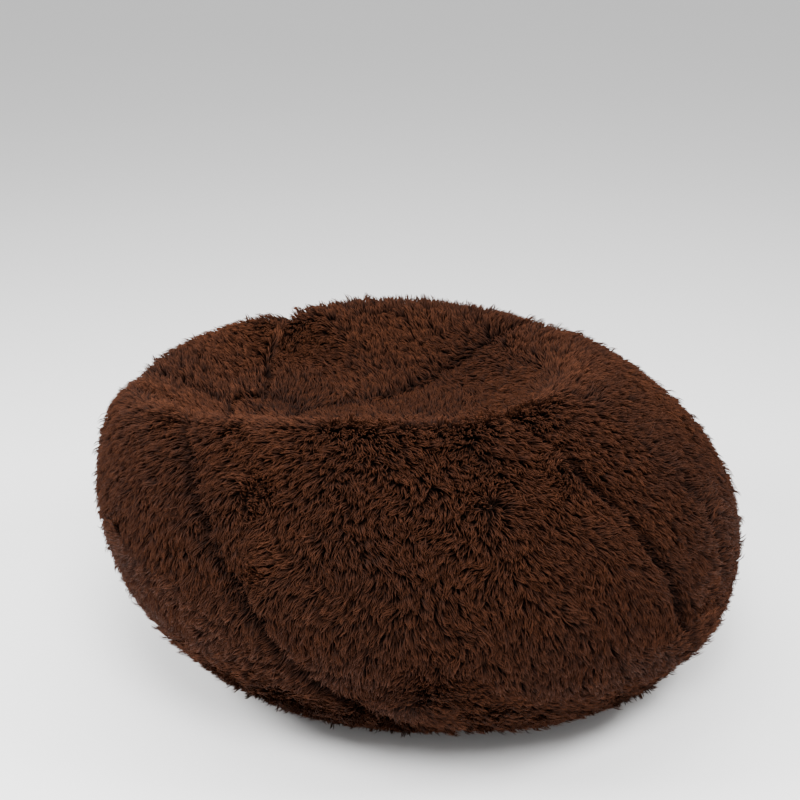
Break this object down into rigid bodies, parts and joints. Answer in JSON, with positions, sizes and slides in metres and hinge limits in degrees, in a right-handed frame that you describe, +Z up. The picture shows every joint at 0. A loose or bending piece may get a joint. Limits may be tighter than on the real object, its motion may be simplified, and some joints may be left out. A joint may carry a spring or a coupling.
{
  "type": "bean bag chair",
  "caption": "Large round bean bag chair with a long-pile brown fur cover, sat in so that its top holds a seat hollow, with a hidden zip at the back.",
  "frame": {"origin": "on the floor under the middle of the bag's outer box", "axes": "+Z up; -Y is the front, where the rim of the seat hollow is low; the raised back support is on the -X side"},
  "size_m": [1.2026, 1.1123, 0.6063],
  "materials": {
    "cover_fur": "long shaggy pile in dark chocolate brown, lighter at the tips, parted at the seams",
    "liner_cloth": "plain woven polyester lining",
    "zip_tape": "herringbone woven zip tape, dark brown",
    "zip_teeth": "nylon zip teeth, dark brown",
    "zip_metal": "antique brown enamelled metal",
    "filling": "loose crumbed foam and polystyrene beads"
  },
  "bodies": {
    "bag": {"bead_fill": "filling", "cover_bottom_cap": "cover_fur", "cover_gore_1": "cover_fur", "cover_gore_2": "cover_fur", "cover_gore_3": "cover_fur", "cover_gore_4": "cover_fur", "cover_gore_5": "cover_fur", "cover_top_cap": "cover_fur", "cover_zip_bottom_stop": "zip_metal", "cover_zip_tape_left": "zip_tape", "cover_zip_tape_right": "zip_tape", "cover_zip_teeth_left": "zip_teeth", "cover_zip_teeth_right": "zip_teeth", "cover_zip_top_stop": "zip_metal", "liner_bottom_cap": "liner_cloth", "liner_gore_1": "liner_cloth", "liner_gore_2": "liner_cloth", "liner_gore_3": "liner_cloth", "liner_gore_4": "liner_cloth", "liner_gore_5": "liner_cloth", "liner_top_cap": "liner_cloth", "liner_zip_bottom_stop": "zip_metal", "liner_zip_tape_left": "zip_tape", "liner_zip_tape_right": "zip_tape", "liner_zip_teeth_left": "zip_teeth", "liner_zip_teeth_right": "zip_teeth", "liner_zip_top_stop": "zip_metal"},
    "cover_slider": {"cover_zip_slider": "zip_metal"},
    "cover_pull": {"cover_zip_pull": "zip_metal"},
    "liner_slider": {"liner_zip_slider": "zip_metal"}
  },
  "joints": [
    {"name": "cover_zip_travel", "type": "hinge", "parent": "bag", "child": "cover_slider", "pos_m": [-0.03838, 0.14534, 0.35406], "axis": [-0.7619, -0.234, -0.604], "range_deg": [0, 70.4]},
    {"name": "cover_pull_flip", "type": "hinge", "parent": "cover_slider", "child": "cover_pull", "pos_m": [-0.22321, 0.48365, 0.45615], "axis": [0.7619, 0.234, 0.604], "range_deg": [0, 120]},
    {"name": "liner_zip_travel", "type": "hinge", "parent": "bag", "child": "liner_slider", "pos_m": [-0.04129, 0.14902, 0.35481], "axis": [-0.7573, -0.2334, -0.6099], "range_deg": [0, 44.99]}
  ]
}
